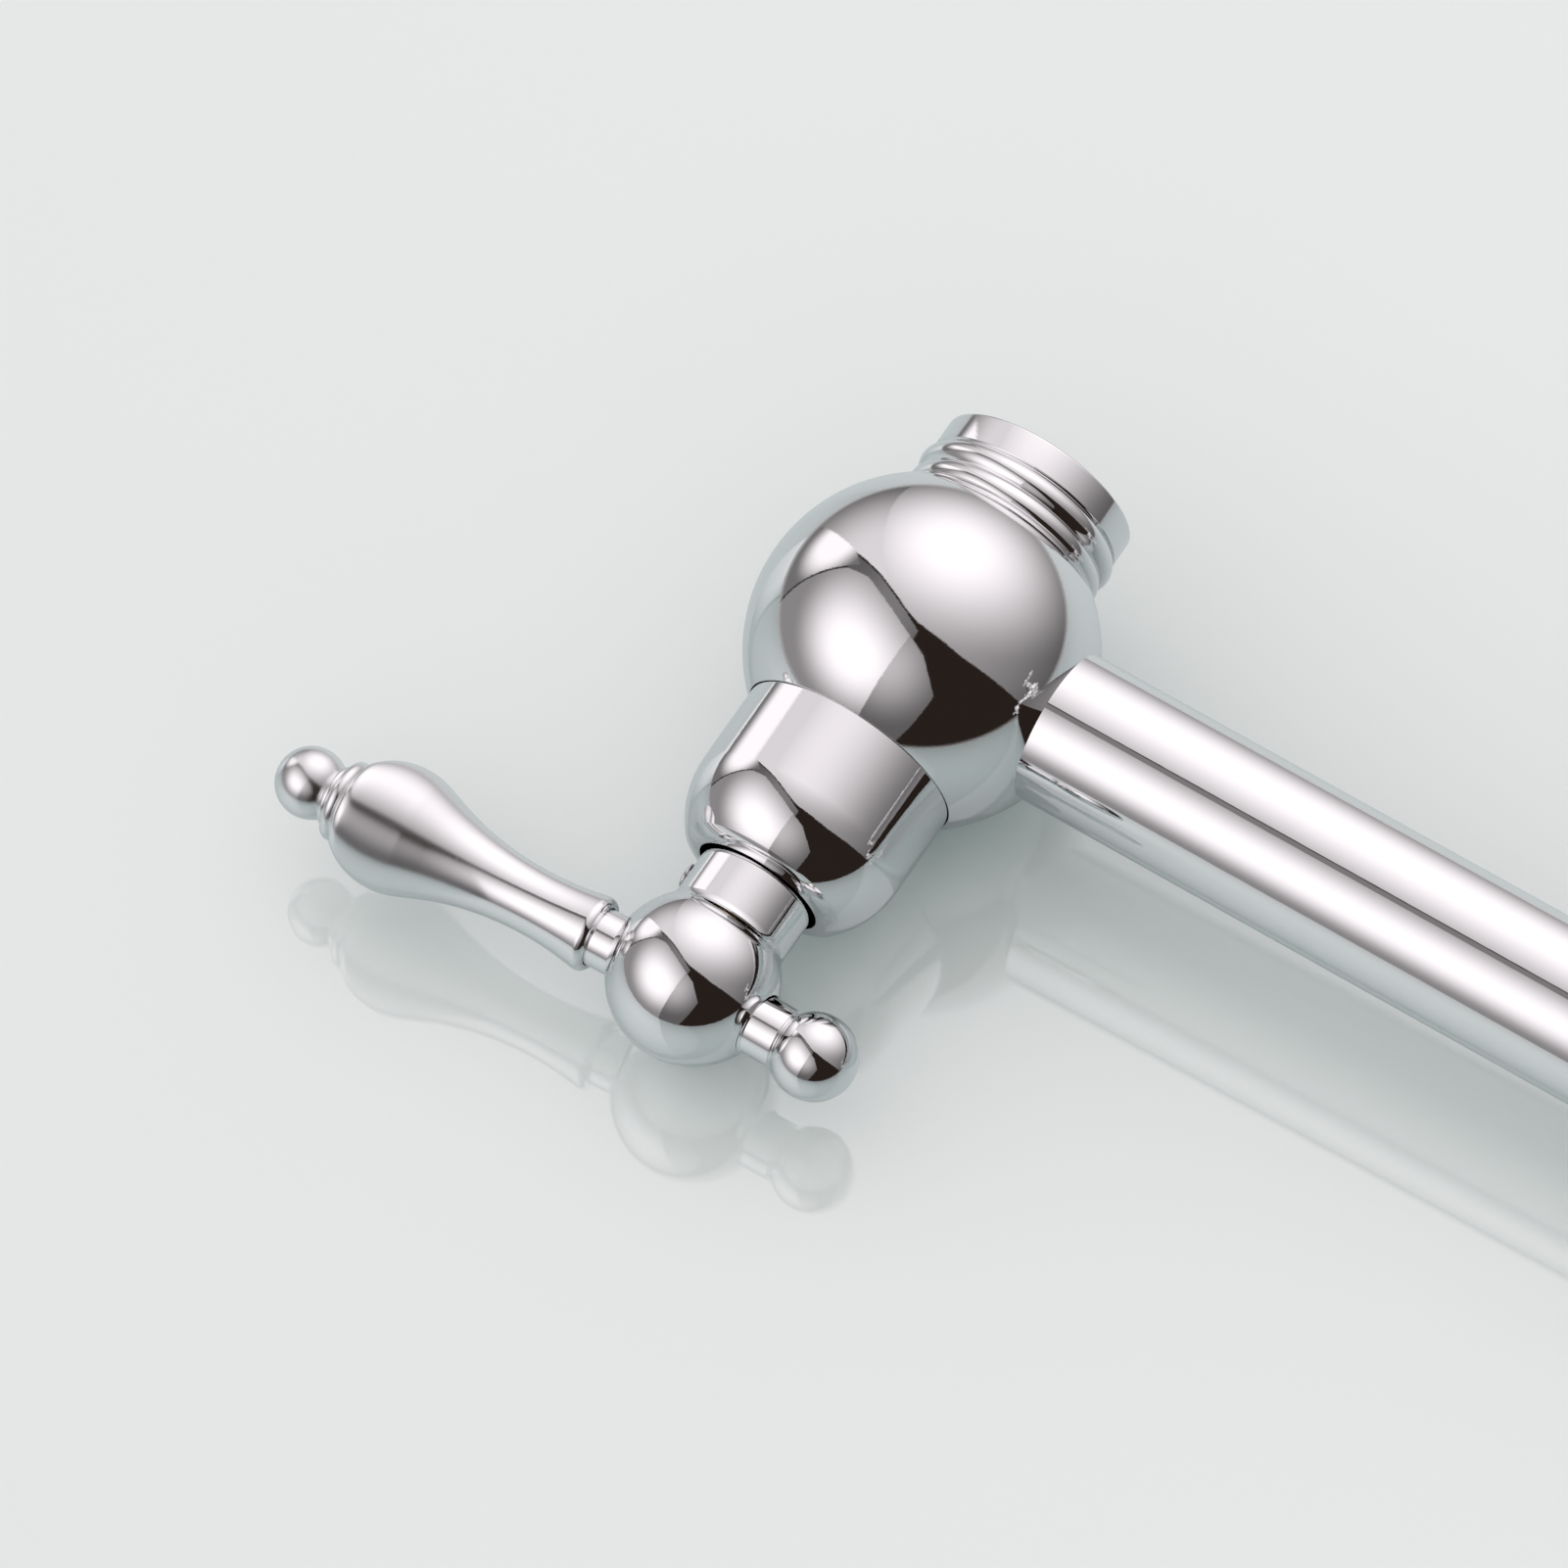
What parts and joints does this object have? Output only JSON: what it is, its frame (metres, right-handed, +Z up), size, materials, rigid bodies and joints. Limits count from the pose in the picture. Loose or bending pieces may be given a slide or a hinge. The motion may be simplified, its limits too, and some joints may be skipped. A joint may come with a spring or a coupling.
{
  "type": "wall-mounted tap",
  "caption": "Chromed wall-mounted pot filler tap with a folding double-jointed arm, round valve bodies, a lever at the wall and one above the outlet.",
  "frame": {"origin": "centre of the inlet nipple in the plane of the wall's surface", "axes": "+Z up, +Y into the wall along the inlet, +X along both arms at rest, to the right seen from the front"},
  "size_m": [0.5854, 0.1468, 0.2203],
  "materials": {
    "chrome plate": "polished",
    "plain brass": "machined",
    "stainless steel": "satin",
    "rubber": "matt",
    "ceramic": "polished",
    "slide plastic": "matt",
    "grey plastic": "matt"
  },
  "bodies": {
    "wall_body": {"wall_shank": "chrome plate", "shank_washer": "rubber", "inlet_nipple": "plain brass", "inlet_washer": "rubber", "wall_flange": "chrome plate", "flange_setscrew": "stainless steel", "flange_gasket": "rubber", "wall_ball": "chrome plate", "wall_bonnet": "chrome plate", "wall_cartridge": "plain brass", "wall_cartridge_ring": "rubber", "wall_seat_seal": "rubber", "wall_fixed_disc": "ceramic", "wall_post": "chrome plate", "wall_swivel_rings": "rubber", "wall_lower_washer": "slide plastic", "wall_upper_washer": "slide plastic", "wall_cap": "chrome plate"},
    "wall_lever": {"wall_lever_hub": "chrome plate", "wall_hub_screw": "stainless steel", "wall_spindle": "plain brass", "wall_turning_disc": "ceramic", "wall_lever_stud": "stainless steel", "wall_lever_ferrule": "chrome plate", "wall_lever_handle": "chrome plate", "wall_lever_knob": "chrome plate"},
    "inner_arm": {"inner_knuckle": "chrome plate", "inner_tube": "chrome plate", "elbow_body": "chrome plate", "elbow_finial": "chrome plate", "elbow_post": "chrome plate", "elbow_swivel_rings": "rubber", "elbow_lower_washer": "slide plastic", "elbow_upper_washer": "slide plastic", "elbow_cap": "chrome plate"},
    "outer_arm": {"outer_knuckle": "chrome plate", "outer_tube": "chrome plate", "outlet_ball": "chrome plate", "outlet_bonnet": "chrome plate", "outlet_cartridge": "plain brass", "outlet_cartridge_ring": "rubber", "outlet_seat_seal": "rubber", "outlet_fixed_disc": "ceramic", "aerator_housing": "chrome plate", "aerator_washer": "rubber", "aerator_insert": "grey plastic", "aerator_gauze": "stainless steel"},
    "outlet_lever": {"outlet_lever_hub": "chrome plate", "outlet_hub_screw": "stainless steel", "outlet_spindle": "plain brass", "outlet_turning_disc": "ceramic", "outlet_lever_stud": "stainless steel", "outlet_lever_ferrule": "chrome plate", "outlet_lever_handle": "chrome plate", "outlet_lever_knob": "chrome plate"}
  },
  "joints": [
    {"name": "wall_valve", "type": "hinge", "parent": "wall_body", "child": "wall_lever", "pos_m": [0, -0.062, 0], "axis": [0, 1, 0], "range_deg": [0, 90]},
    {"name": "wall_swivel", "type": "hinge", "parent": "wall_body", "child": "inner_arm", "pos_m": [0, -0.062, 0], "axis": [0, 0, -1], "range_deg": [0, 180]},
    {"name": "elbow_swivel", "type": "hinge", "parent": "inner_arm", "child": "outer_arm", "pos_m": [0.22, -0.062, 0], "axis": [0, 0, 1], "range_deg": [-175, 175]},
    {"name": "outlet_valve", "type": "hinge", "parent": "outer_arm", "child": "outlet_lever", "pos_m": [0.49, -0.062, 0], "axis": [0, 0, -1], "range_deg": [0, 90]}
  ]
}
